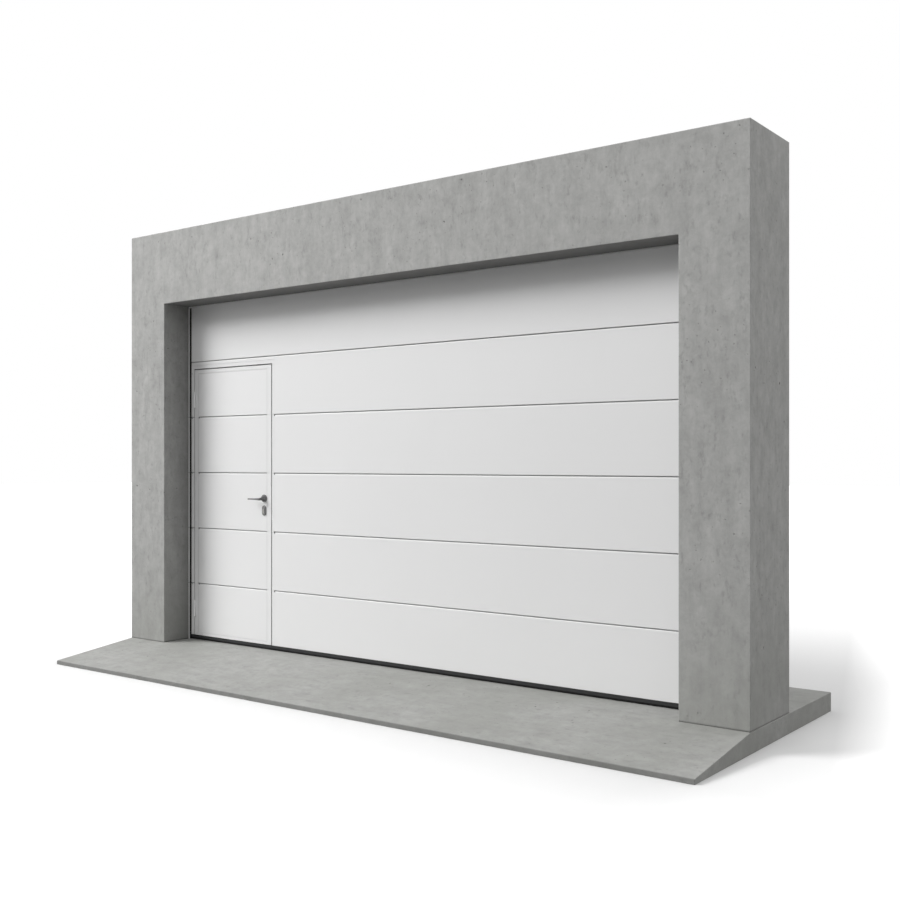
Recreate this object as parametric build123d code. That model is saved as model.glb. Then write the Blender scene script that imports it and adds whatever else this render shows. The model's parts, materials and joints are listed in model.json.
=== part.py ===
from build123d import *
import os

# Sectional garage door with a wicket door, in a concrete portal on a base slab with a ramp.
# Millimetres, +Z up, the outer side faces -Y. Places are measured from the portal's left side (X), its
# front face (Y) and the slab's top (Z), and every piece is moved by "origin" when it is written, so that
# the part's own origin lies under the middle of the slab.

# Portal
portal_width = 4890
portal_height = 3030
portal_depth = 535
pillar_width = 385
opening_height = 2500
nib_depth = 230          # concrete in front of the door frame
side_rebate = 130        # room for the tracks behind the nib, each side
head_rebate = 330        # room for the track bends behind the lintel's nib

# Base slab
slab_thickness = 110
ramp_length = 640
ramp_lip = 27
slab_depth_behind_front = 1205

# Door frame on the nib: coated cover profile, then a rubber lip against the leaf
trim_depth = 10
head_trim_drop = 7
lip_thickness = 3
side_lip = 17
head_lip_drop = 6        # the head's lip ends behind its cover profile

# Door leaf of six sections
section_count = 6
section_pitch = 415
first_joint = 422
panel_bottom = 35
leaf_top = 2530
panel_thickness = 42
leaf_overlap = 25        # leaf behind the concrete, each side

# Section joint: a rounded tongue in a rounded recess
tongue_middle = 21
tongue_radius = 9
tongue_rise = 3
recess_radius = 11
recess_rise = 5
groove_lip = 4
groove_slope = 8
rear_gap = 1
notch_width = 11         # open end of a groove beside the wicket door
notch_depth = 14
notch_drop = 10

# Rubber profile under the leaf
seal_inset = 4
seal_shoulder = 6
seal_bulge = (1, 5)

# Wicket door
wicket_left = 439
wicket_right = 1262
wicket_bottom = 35
wicket_top = 2022
hinge_gap = 5
lock_gap = 8
hinge_frame_width = 17
lock_frame_width = 20
head_frame_height = 25
stile_width = 42
top_rail_height = 25
bottom_rail_height = 22
frame_depth = 51
stop_overlap = 10
stop_thickness = 3
hairline = 0.6
edge_radius = 1.5
gasket_thickness = 1.5
gasket_set_back = 4
gasket_depth = 12

# Wicket hinges
hinge_x = 449
hinge_reach = 9          # axis in front of the leaf's face
barrel_radius = 7
hinge_pin_radius = 3.5
pin_head_height = 4
running_clearance = 0.05
hinge_middles = (235, 1799)
knuckle_length = 59
knuckle_gap = 2
hinge_plate = 3
hinge_arm = 4

# Handle set and lock
handle_x = 1192
handle_z = 1073
cylinder_z = 991
rose_radius = 27
rose_thickness = 8
rim_radius = 3
neck_radius = 9
lever_length = 113
lever_reach = 52
lever_drop = 4.5         # arm lower than the spindle
rose_gap = 0.5           # lever in front of the rose
knob_radius = 9
flare_sections = ((0, 21, 0), (0.16, 16.5, 0.1), (0.42, 11.5, 0.5), (0.72, 9.2, 0.9), (1, 8.2, 1))
arm_sections = ((0, 13, 17, 6), (0.26, 10, 13.5, 4), (1, 8, 11.5, 3.5))
spindle_side = 8
spindle_reach = 30
spindle_hole = 12
escutcheon_width = 36
escutcheon_height = 70
escutcheon_drop = 4
barrel_of_lock = 8.5
lock_tail_width = 10
lock_tail_height = 25
lock_proud = 3
profile_clearance = 0.3
forend_width = 22
forend_height = 235
forend_thickness = 3
forend_drop = 150        # forend's lower end under the spindle
latch_half = (6, 14)
dead_bolt_half = (7, 18)
pocket_depth = 14

# Tracks and angle frames
track_depth = 32
track_width = 56
track_sheet = 2
track_mouth = 28
track_foot = 20
track_web_x = 300
track_y = 313
bend_radius = 300
bend_start = 2420
track_end = 1150
angle_sheet = 3
angle_leg = 102
brace_width = 50
brace_foot = 2140
brace_end = 930

# Rollers, end caps and section hinges
foot_roller = 80
roller_offset = 30       # from a joint, or from the track's bend
wheel_radius = 22
wheel_width = 18
wheel_play = 4
stem_radius = 5.5
stem_length = 116
end_cap_sheet = 2
end_cap_flange = 54
bracket_half_height = 35
bracket_reach = (5, 52)
bracket_plate = 3
bracket_tube = 9
hinge_half_width = 32
hinge_wing = 55
hinge_sheet = 2.5
hinge_knuckle = 6
plate_gap = 4            # hinge plate to joint line
bridge_half = 8
field_hinges = (1335, 2135, 2935, 3735)
leaf_hinge_half_width = 22
leaf_hinge_inset = 10    # beside the frame's stops

# Derived places
leaf_face = nib_depth + trim_depth + lip_thickness
leaf_back = leaf_face + panel_thickness
leaf_middle_y = (leaf_face + leaf_back) / 2
leaf_left = pillar_width - leaf_overlap
leaf_right = portal_width - leaf_left
trim_left = leaf_left - 5
joints = [first_joint + section_pitch * k for k in range(section_count - 1)]
frame_left = wicket_left - hinge_gap - hinge_frame_width
frame_right = wicket_right + lock_gap + lock_frame_width
head_bottom = wicket_top + lock_gap
head_top = head_bottom + head_frame_height
rail_bottom = 14
rail_under_wicket = 29
middle_plane = Plane.YZ.offset(portal_width / 2)
slab_middle = (slab_depth_behind_front - ramp_length) / 2
origin = Pos(-portal_width / 2, -slab_middle, slab_thickness)


def block(x, y, z):
    """A box between pairs of places along each axis."""
    size = (x[1] - x[0], y[1] - y[0], z[1] - z[0])
    corner = Pos(x[0], y[0], z[0])
    return corner * Box(*size, align=(Align.MIN, Align.MIN, Align.MIN))


def along_x(edges, x0, x1):
    """Extrudes closed edges, drawn as (y, z), from x0 to x1."""
    face = Plane.YZ.offset(x0) * make_face(edges)
    return extrude(face, amount=x1 - x0, dir=(1, 0, 0))


def along_y(edges, y0, y1):
    """Extrudes closed edges, drawn as (x, z), from y0 to y1."""
    plane = Plane(origin=(0, y0, 0), x_dir=(1, 0, 0), z_dir=(0, -1, 0))
    return extrude(plane * make_face(edges), amount=y1 - y0, dir=(0, 1, 0))


def along_z(edges, z0, z1):
    """Extrudes closed edges, drawn as (x, y), from z0 to z1."""
    face = Plane.XY.offset(z0) * make_face(edges)
    return extrude(face, amount=z1 - z0, dir=(0, 0, 1))


def rod_x(radius, x0, x1, y, z):
    """A round rod along X."""
    disc = Plane(origin=(x0, y, z), z_dir=(1, 0, 0)) * Circle(radius)
    return extrude(disc, amount=x1 - x0, dir=(1, 0, 0))


def rod_y(radius, y0, y1, x, z):
    """A round rod along Y, between two places in any order."""
    disc = Plane(origin=(x, min(y0, y1), z), z_dir=(0, 1, 0)) * Circle(radius)
    return extrude(disc, amount=abs(y1 - y0), dir=(0, 1, 0))


def rod_z(radius, z0, z1, x, y):
    """A round rod along Z."""
    disc = Plane(origin=(x, y, z0), z_dir=(0, 0, 1)) * Circle(radius)
    return extrude(disc, amount=z1 - z0, dir=(0, 0, 1))


def opposite(shape):
    """The same piece on the other side of the portal's middle."""
    return mirror(shape, about=middle_plane)


def through_leaf_space(x, z):
    """A cutting block that passes through the leaf and its frame."""
    return block(x, (leaf_face - 5, leaf_face + frame_depth + 5), z)


def cut_at_joints(piece, x0, x1):
    """Divides an upright at the section joints, so that it folds with the leaf."""
    for joint in joints[:-1]:
        piece -= through_leaf_space((x0 - 1, x1 + 1), (joint - hairline / 2, joint + hairline / 2))
    return piece


def save(name, *pieces):
    """Writes one node."""
    moved = [origin * solid for piece in pieces for solid in piece.solids()]
    body = moved[0] if len(moved) == 1 else Compound(children=moved)
    export_step(body, f"parts/{name}.step")


def pillar():
    """Left pillar: a nib in front of the leaf and a rebate for the track behind it."""
    outline = Polyline(
        (0, 0),
        (pillar_width, 0),
        (pillar_width, nib_depth),
        (pillar_width - side_rebate, nib_depth),
        (pillar_width - side_rebate, portal_depth),
        (0, portal_depth),
        close=True,
    )
    return along_z(outline, 0, opening_height)


def lintel():
    """Beam over the opening, rebated behind its nib between the pillars' rebates."""
    beam = block((0, portal_width), (0, portal_depth), (opening_height, portal_height))
    rebate_left = pillar_width - side_rebate
    rebate = block(
        (rebate_left, portal_width - rebate_left),
        (nib_depth, portal_depth),
        (opening_height, opening_height + head_rebate),
    )
    return beam - rebate


def ramp_slab():
    """Base slab with the drive-on ramp in front of the portal."""
    outline = Polyline(
        (-ramp_length, -slab_thickness),
        (slab_depth_behind_front, -slab_thickness),
        (slab_depth_behind_front, 0),
        (0, 0),
        (-ramp_length, ramp_lip - slab_thickness),
        close=True,
    )
    return along_x(outline, 0, portal_width)


def side_trim():
    """Left cover profile, flush with the reveal."""
    top = opening_height - head_trim_drop - hairline
    return block((trim_left, pillar_width), (nib_depth, nib_depth + trim_depth), (0, top))


def head_trim():
    """Cover profile under the lintel's nib."""
    x = (trim_left, portal_width - trim_left)
    return block(x, (nib_depth, nib_depth + trim_depth), (opening_height - head_trim_drop, leaf_top))


def side_seal():
    """Left rubber lip between the cover profile and the leaf."""
    x = (trim_left, pillar_width + side_lip)
    return block(x, (nib_depth + trim_depth, leaf_face), (0, opening_height - head_lip_drop))


def top_seal():
    """Rubber lip under the head's cover profile."""
    x = (trim_left, portal_width - trim_left)
    return block(x, (nib_depth + trim_depth, leaf_face), (opening_height - head_lip_drop, leaf_top))


def section_outline(bottom, top, has_recess=True, has_tongue=True):
    """Cross-section of a panel: bottom and top are its joint lines, or its plain ends."""
    front = leaf_face
    back = leaf_back
    middle = leaf_face + tongue_middle
    edges = []
    if has_recess:
        sill = bottom + groove_lip
        spring = bottom + recess_rise
        low = bottom + rear_gap
        recess_front = middle - recess_radius
        recess_back = middle + recess_radius
        crown = spring + recess_radius
        edges.append(Polyline((front, sill), (recess_front, sill), (recess_front, spring)))
        edges.append(ThreePointArc((recess_front, spring), (middle, crown), (recess_back, spring)))
        edges.append(Polyline((recess_back, spring), (recess_back, low), (back, low)))
    else:
        sill = bottom
        low = bottom
        edges.append(Line((front, sill), (back, low)))
    if has_tongue:
        shoulder = top - rear_gap
        root = top + tongue_rise
        tongue_front = middle - tongue_radius
        tongue_back = middle + tongue_radius
        crown = root + tongue_radius
        slope_end = front + groove_slope
        slope_low = top - groove_slope
        edges.append(Polyline((back, low), (back, shoulder), (tongue_back, shoulder), (tongue_back, root)))
        edges.append(ThreePointArc((tongue_back, root), (middle, crown), (tongue_front, root)))
        edges.append(Polyline((tongue_front, root), (tongue_front, shoulder), (slope_end, shoulder)))
        bulge = (front + 0.3 * groove_slope, top - 0.4 * groove_slope)
        edges.append(ThreePointArc((slope_end, shoulder), bulge, (front, slope_low)))
        edges.append(Line((front, slope_low), (front, sill)))
    else:
        edges.append(Polyline((back, low), (back, top), (front, top), (front, sill)))
    return edges


def groove_notch(x0, joint):
    """Opening at the end of a groove, where the joint's profile is cut."""
    y = (leaf_face - 1, leaf_face + notch_depth)
    return block((x0, x0 + notch_width), y, (joint - notch_drop, joint + groove_lip))


def section(number):
    """One section of the leaf, without the wicket door's opening."""
    bottom = joints[number - 2] if number > 1 else panel_bottom
    top = joints[number - 1] if number < section_count else leaf_top
    outline = section_outline(bottom, top, number > 1, number < section_count)
    panel = along_x(outline, leaf_left, leaf_right)
    if number == section_count:
        return panel
    cut_left = frame_left - hairline
    cut_right = frame_right + hairline
    panel -= through_leaf_space((cut_left, cut_right), (0, head_top + hairline))
    if number == section_count - 1:
        return panel
    return panel - groove_notch(cut_left - notch_width, top) - groove_notch(cut_right, top)


def bottom_rail():
    """Stiff profile under the leaf, lower where the wicket door passes over it."""
    rail = block((leaf_left, leaf_right), (leaf_face, leaf_back), (rail_bottom, panel_bottom))
    pass_over = through_leaf_space(
        (wicket_left - hinge_gap, wicket_right + lock_gap), (rail_under_wicket, panel_bottom + 5)
    )
    return rail - pass_over


def bottom_seal():
    """Rubber profile on the floor: a flat foot with rounded shoulders."""
    front = leaf_face + seal_inset
    back = leaf_back - seal_inset
    foot_front = front + seal_shoulder
    foot_back = back - seal_shoulder
    inward, rise = seal_bulge
    edges = [
        Line((foot_front, 0), (foot_back, 0)),
        ThreePointArc((foot_back, 0), (back - inward, rise), (back, rail_bottom)),
        Line((back, rail_bottom), (front, rail_bottom)),
        ThreePointArc((front, rail_bottom), (front + inward, rise), (foot_front, 0)),
    ]
    return along_x(edges, leaf_left, leaf_right)


def frame_side(outer, inner, stop_edge):
    """Upright of the wicket door's frame with a stop behind the leaf."""
    rear = leaf_face + frame_depth
    stop_front = rear - stop_thickness
    outline = Polyline(
        (outer, leaf_face),
        (inner, leaf_face),
        (inner, stop_front),
        (stop_edge, stop_front),
        (stop_edge, rear),
        (outer, rear),
        close=True,
    )
    upright = along_z(outline, panel_bottom, head_bottom)
    return cut_at_joints(upright, min(outer, stop_edge), max(outer, stop_edge))


def frame_hinge_side():
    inner = wicket_left - hinge_gap
    return frame_side(frame_left, inner, wicket_left + stop_overlap)


def bolt_pocket(x0, x1):
    """Space of the latch and the dead bolt."""
    latch = block(
        (x0, x1),
        (leaf_middle_y - latch_half[0], leaf_middle_y + latch_half[0]),
        (handle_z - latch_half[1], handle_z + latch_half[1]),
    )
    dead_bolt = block(
        (x0, x1),
        (leaf_middle_y - dead_bolt_half[0], leaf_middle_y + dead_bolt_half[0]),
        (cylinder_z - dead_bolt_half[1], cylinder_z + dead_bolt_half[1]),
    )
    return latch + dead_bolt


def forend_block(x0):
    """Plate of the lock's width and height, from x0 on."""
    half = forend_width / 2
    low = handle_z - forend_drop
    x = (x0, x0 + forend_thickness)
    return block(x, (leaf_middle_y - half, leaf_middle_y + half), (low, low + forend_height))


def strike_plate():
    """Plate let into the lock side of the frame, with two bolt holes."""
    inner = wicket_right + lock_gap
    return forend_block(inner) - bolt_pocket(inner, inner + forend_thickness)


def frame_lock_side():
    """Lock side of the wicket door's frame, with the seat of the strike plate."""
    inner = wicket_right + lock_gap
    upright = frame_side(frame_right, inner, wicket_right - stop_overlap)
    return upright - forend_block(inner) - bolt_pocket(inner, inner + pocket_depth)


def frame_head():
    """Head of the wicket door's frame with its stop."""
    rear = leaf_face + frame_depth
    stop_front = rear - stop_thickness
    stop_low = wicket_top - stop_overlap
    outline = Polyline(
        (leaf_face, head_bottom),
        (leaf_face, head_top),
        (rear, head_top),
        (rear, stop_low),
        (stop_front, stop_low),
        (stop_front, head_bottom),
        close=True,
    )
    head = along_x(outline, frame_left, frame_right)
    below = (stop_low - 5, head_bottom)
    head -= through_leaf_space((frame_left, wicket_left + stop_overlap), below)
    head -= through_leaf_space((wicket_right - stop_overlap, frame_right), below)
    return head


def gasket_place():
    """Front and rear of the gaskets in the gap round the wicket leaf."""
    return leaf_face + gasket_set_back, leaf_face + gasket_set_back + gasket_depth


def frame_gaskets():
    """Rubber strips on the inner faces of the wicket door's frame."""
    left = wicket_left - hinge_gap
    right = wicket_right + lock_gap
    z = (wicket_bottom, head_bottom - gasket_thickness - hairline)
    at_lock = block((right - gasket_thickness, right), gasket_place(), z)
    plate_zone = (handle_z - forend_drop - 2, handle_z - forend_drop + forend_height + 2)
    at_lock -= through_leaf_space((right - 5, right + 5), plate_zone)
    at_head = block((left, right), gasket_place(), (head_bottom - gasket_thickness, head_bottom))
    return [at_lock, at_head]


def leaf_gasket():
    """Rubber strip on the lock edge of the wicket leaf, broken at the forend."""
    right = wicket_right + gasket_thickness
    strip = block((wicket_right, right), gasket_place(), (wicket_bottom + 2, wicket_top - 2))
    plate_zone = (handle_z - forend_drop - 2, handle_z - forend_drop + forend_height + 2)
    return strip - through_leaf_space((wicket_right - 5, right + 5), plate_zone)


def stile(outer, inner):
    """Upright of the wicket leaf, mitred at both ends, with an eased outer edge."""
    edges = Polyline(
        (outer, wicket_bottom),
        (outer, wicket_top),
        (inner, wicket_top - top_rail_height),
        (inner, wicket_bottom + bottom_rail_height),
        close=True,
    )
    upright = along_y(edges, leaf_face, leaf_back)
    front_edge = upright.edges().filter_by(Axis.Z).sort_by(lambda e: abs(e.center().X - outer) + e.center().Y)[0]
    upright = fillet(front_edge, edge_radius)
    return cut_at_joints(upright, min(outer, inner), max(outer, inner))


def hinge_stile():
    return stile(wicket_left, wicket_left + stile_width)


def lock_stile():
    """Lock-side stile with the seat of the forend."""
    return stile(wicket_right, wicket_right - stile_width) - forend_block(wicket_right - forend_thickness)


def wicket_rail(outer, inner):
    """Cross rail of the wicket leaf between its outer and inner heights, mitred at both ends."""
    left = wicket_left + hairline
    right = wicket_right - hairline
    edges = Polyline(
        (left, outer),
        (left + stile_width, inner),
        (right - stile_width, inner),
        (right, outer),
        close=True,
    )
    return along_y(edges, leaf_face, leaf_back)


def wicket_panel(number):
    """Infill of the wicket leaf at the height of one section."""
    bottom = joints[number - 2] if number > 1 else wicket_bottom + bottom_rail_height + hairline
    last = number == section_count - 1
    top = wicket_top - top_rail_height - hairline if last else joints[number - 1]
    outline = section_outline(bottom, top, number > 1, not last)
    x0 = wicket_left + stile_width + hairline
    x1 = wicket_right - stile_width - hairline
    panel = along_x(outline, x0, x1)
    return panel if last else panel - groove_notch(x0, top)


def cylinder_profile(grow):
    """Keyhole-shaped section of the lock cylinder."""
    barrel = Circle(barrel_of_lock + grow)
    tail_size = (lock_tail_width + 2 * grow, lock_tail_height + 2 * grow)
    tail = Pos(0, -lock_tail_height / 2) * RectangleRounded(*tail_size, 4)
    return barrel + tail


def through_leaf(profile, y0, y1, z):
    """Extrudes a profile drawn as (x, z) along Y at the lock's place."""
    plane = Plane(origin=(handle_x, min(y0, y1), z), x_dir=(1, 0, 0), z_dir=(0, -1, 0))
    return extrude(plane * profile, amount=abs(y1 - y0), dir=(0, 1, 0))


def handle_panel():
    """The panel with the spindle hole and the cylinder hole."""
    panel = wicket_panel(3)
    panel -= rod_y(spindle_hole, leaf_face - 5, leaf_back + 5, handle_x, handle_z)
    panel -= through_leaf(cylinder_profile(profile_clearance), leaf_face - 5, leaf_back + 5, cylinder_z)
    return panel


def rounded_rim(plate, outer):
    """Rounds the rim of a rose or escutcheon at its outer face."""
    rim = plate.edges().filter_by(lambda edge: abs(edge.center().Y - outer) < 0.1)
    return fillet(rim, rim_radius)


def outward(front):
    """Direction away from the leaf at one of its faces."""
    return -1 if front == leaf_face else 1


def rose(front):
    """Round rose on one face of the leaf, with the bore of the lever's neck."""
    outer = front + outward(front) * rose_thickness
    disc = rounded_rim(rod_y(rose_radius, front, outer, handle_x, handle_z), outer)
    return disc - rod_y(neck_radius + running_clearance, front - 20, front + 20, handle_x, handle_z)


def escutcheon(front):
    """Oblong plate round the lock cylinder."""
    outer = front + outward(front) * rose_thickness
    outline = RectangleRounded(escutcheon_width, escutcheon_height, escutcheon_width / 2 - 1)
    plate = rounded_rim(through_leaf(outline, front, outer, cylinder_z - escutcheon_drop), outer)
    return plate - through_leaf(cylinder_profile(profile_clearance), front - 20, front + 20, cylinder_z)


def lock_cylinder():
    reach = rose_thickness + lock_proud
    return through_leaf(cylinder_profile(0), leaf_face - reach, leaf_back + reach, cylinder_z)


def lever_flare(rose_front, arm_y):
    """Neck that narrows from the rose to the arm: each section has a place, a radius and a share of the drop."""
    rings = []
    for along, radius, drop in flare_sections:
        y = rose_front + (arm_y - rose_front) * along
        place = Plane(origin=(handle_x, y, handle_z - lever_drop * drop), x_dir=(1, 0, 0), z_dir=(0, -1, 0))
        rings.append((place * Circle(radius)).face())
    return loft(rings)


def lever_arm(arm_y, arm_z):
    """Arm that tapers from the neck: each section has a place, a thickness, a height and a corner radius."""
    root_plane = Plane(origin=(handle_x, arm_y, arm_z), x_dir=(0, 1, 0), z_dir=(-1, 0, 0))
    rings = []
    for along, thickness, height, corner in arm_sections:
        outline = root_plane.offset(along * lever_length) * RectangleRounded(thickness, height, corner)
        rings.append(outline.face())
    return loft(rings)


def lever(front):
    """Cast lever handle: a neck that flares onto the rose, and a slim arm that points away from the lock."""
    side = outward(front)
    rose_front = front + side * (rose_thickness + rose_gap)
    arm_y = front + side * lever_reach
    arm_z = handle_z - lever_drop
    neck = rod_y(neck_radius, front, rose_front + side, handle_x, handle_z)
    flare = lever_flare(rose_front, arm_y)
    knob = Pos(handle_x, arm_y, arm_z) * Sphere(knob_radius)
    arm = lever_arm(arm_y, arm_z)
    half = spindle_side / 2
    seat_end = front + side * spindle_reach
    seat = block(
        (handle_x - half, handle_x + half),
        (min(front - side, seat_end), max(front - side, seat_end)),
        (handle_z - half, handle_z + half),
    )
    return neck + flare + knob + arm - seat


def lever_spindle():
    half = spindle_side / 2
    return block(
        (handle_x - half, handle_x + half),
        (leaf_face - spindle_reach, leaf_back + spindle_reach),
        (handle_z - half, handle_z + half),
    )


def hinge_frame_leaf(middle):
    """Lower hinge half: plate on the frame, knuckle on the axis."""
    z0 = middle - knuckle_length - knuckle_gap / 2
    z1 = middle - knuckle_gap / 2
    axis_y = leaf_face - hinge_reach
    knuckle = rod_z(barrel_radius, z0, z1, hinge_x, axis_y)
    plate_edge = wicket_left - hinge_gap
    web_edge = plate_edge - hinge_arm
    plate = block((frame_left, plate_edge), (leaf_face - hinge_plate, leaf_face), (z0, z1))
    arm = block((web_edge, hinge_x - 3), (axis_y - hinge_arm / 2, axis_y + hinge_arm / 2), (z0, z1))
    web = block((web_edge, plate_edge), (axis_y - hinge_arm / 2, leaf_face), (z0, z1))
    half = knuckle + plate + arm + web
    return half - rod_z(hinge_pin_radius, z0 - 1, z1 + 1, hinge_x, axis_y)


def hinge_door_leaf(middle):
    """Upper hinge half: plate on the leaf's stile, knuckle that turns on the pin."""
    z0 = middle + knuckle_gap / 2
    z1 = middle + knuckle_length + knuckle_gap / 2
    axis_y = leaf_face - hinge_reach
    knuckle = rod_z(barrel_radius, z0, z1, hinge_x, axis_y)
    plate_end = wicket_left + stile_width - 2
    plate = block((hinge_x, plate_end), (leaf_face - hinge_plate, leaf_face), (z0, z1))
    half = knuckle + plate
    return half - rod_z(hinge_pin_radius + running_clearance, z0 - 1, z1 + 1, hinge_x, axis_y)


def hinge_pin(middle):
    """Pin with a head under the lower knuckle."""
    reach = knuckle_length + knuckle_gap / 2
    axis_y = leaf_face - hinge_reach
    shank = rod_z(hinge_pin_radius, middle - reach, middle + reach, hinge_x, axis_y)
    head = rod_z(barrel_radius - 1, middle - reach - pin_head_height, middle - reach, hinge_x, axis_y)
    return shank + head


def track_profile(place):
    """C-shaped section, drawn as (x, y) about the roller's path."""
    web = track_web_x
    mouth = web + track_depth
    half = track_width / 2
    sheet = track_sheet
    lip = track_mouth / 2
    points = [
        (web, -half),
        (mouth, -half),
        (mouth, -lip),
        (mouth - sheet, -lip),
        (mouth - sheet, sheet - half),
        (web + sheet, sheet - half),
        (web + sheet, half - sheet),
        (mouth - sheet, half - sheet),
        (mouth - sheet, lip),
        (mouth, lip),
        (mouth, half),
        (web, half),
    ]
    return place * make_face(Polyline(*points, close=True))


def track():
    """Left track: upright, quarter bend and the start of the run under the ceiling."""
    upright_plane = Plane(origin=(0, track_y, track_foot), x_dir=(1, 0, 0), z_dir=(0, 0, 1))
    upright = extrude(track_profile(upright_plane), amount=bend_start - track_foot, dir=(0, 0, 1))
    bend_plane = Plane(origin=(0, track_y, bend_start), x_dir=(1, 0, 0), z_dir=(0, 0, 1))
    bend_axis = Axis((0, track_y + bend_radius, bend_start), (-1, 0, 0))
    bend = revolve(track_profile(bend_plane), axis=bend_axis, revolution_arc=90)
    run_height = bend_start + bend_radius
    run_plane = Plane(origin=(0, track_y + bend_radius, run_height), x_dir=(1, 0, 0), z_dir=(0, 1, 0))
    run = extrude(track_profile(run_plane), amount=track_end - track_y - bend_radius, dir=(0, 1, 0))
    return upright + bend + run


def angle_frame():
    """Left angle frame on the nib, with the brace that carries the track's run."""
    front = nib_depth
    rear = front + angle_leg
    outer = track_web_x - angle_sheet
    outline = Polyline(
        (outer, front),
        (trim_left, front),
        (trim_left, front + angle_sheet),
        (track_web_x, front + angle_sheet),
        (track_web_x, rear),
        (outer, rear),
        close=True,
    )
    angle = along_z(outline, 0, bend_start)
    run_middle = bend_start + bend_radius
    brace_outline = Polyline(
        (rear - 1, brace_foot),
        (rear - 1, brace_foot + 1.4 * brace_width),
        (brace_end - brace_width, run_middle + track_width / 2 - 4),
        (brace_end, run_middle + track_width / 2 - 4),
        (brace_end, run_middle - track_width / 2),
        close=True,
    )
    return angle + along_x(brace_outline, outer, track_web_x)


def roller_heights():
    """Rollers sit at the leaf's foot, beside each joint and just under the bend."""
    return [foot_roller] + [z + roller_offset for z in joints] + [bend_start - roller_offset]


def end_cap(z0, z1):
    """Steel channel over the left end of one section: its rear flange takes the hinges."""
    sheet = end_cap_sheet
    outline = Polyline(
        (leaf_left - sheet, leaf_face),
        (leaf_left, leaf_face),
        (leaf_left, leaf_back),
        (leaf_left + end_cap_flange, leaf_back),
        (leaf_left + end_cap_flange, leaf_back + sheet),
        (leaf_left - sheet, leaf_back + sheet),
        close=True,
    )
    return along_z(outline, z0, z1)


def roller_wheel(z):
    """Grooved nylon wheel with a raised hub."""
    x0 = track_web_x + track_sheet + wheel_play
    tyre = chamfer(rod_x(wheel_radius, x0, x0 + wheel_width, track_y, z).edges().filter_by(GeomType.CIRCLE), 2)
    hollow_radius = wheel_radius - 5
    hub_radius = stem_radius + 4
    hollow = rod_x(hollow_radius, x0 + wheel_width - 4, x0 + wheel_width + 1, track_y, z)
    hollow -= rod_x(hub_radius, x0, x0 + wheel_width + 2, track_y, z)
    return tyre - hollow - rod_x(stem_radius + 0.1, x0 - 1, x0 + wheel_width + 1, track_y, z)


def roller_stem(z):
    x0 = track_web_x + track_sheet + wheel_play
    return rod_x(stem_radius, x0, x0 + stem_length, track_y, z)


def roller_bracket(z):
    """Plate on the end cap with a tube for the roller's stem."""
    plate_front = leaf_back + end_cap_sheet
    plate_back = plate_front + bracket_plate
    x = (leaf_left + bracket_reach[0], leaf_left + bracket_reach[1])
    plate = block(x, (plate_front, plate_back), (z - bracket_half_height, z + bracket_half_height))
    web = block(x, (plate_back - 1, track_y), (z - 4, z + 4))
    tube = rod_x(bracket_tube, x[0], x[1], track_y, z)
    return plate + web + tube - rod_x(stem_radius + 0.1, x[0] - 1, x[1] + 1, track_y, z)


def section_hinge(x, joint, half):
    """Steel hinge over a section joint: two plates and a rolled knuckle."""
    plate_back = leaf_back + hinge_sheet
    width = (x - half, x + half)
    lower = block(width, (leaf_back, plate_back), (joint - hinge_wing, joint - plate_gap))
    upper = block(width, (leaf_back, plate_back), (joint + plate_gap, joint + hinge_wing))
    knuckle = rod_x(hinge_knuckle, x - half, x + half, plate_back + plate_gap, joint)
    bridge = block(width, (plate_back - 0.5, plate_back + 3), (joint - bridge_half, joint + bridge_half))
    return lower + upper + knuckle + bridge


def wicket_section_hinges():
    """Hinges over the joints on the back of the wicket leaf, one beside each stile."""
    inset = stop_overlap + leaf_hinge_inset + leaf_hinge_half_width
    left = wicket_left + inset
    right = wicket_right - inset
    return [section_hinge(x, z, leaf_hinge_half_width) for z in joints[:-1] for x in (left, right)]


def save_both(name, pieces):
    """Writes like pieces and their opposites as one node."""
    save(name, *pieces, *[opposite(piece) for piece in pieces])


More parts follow.
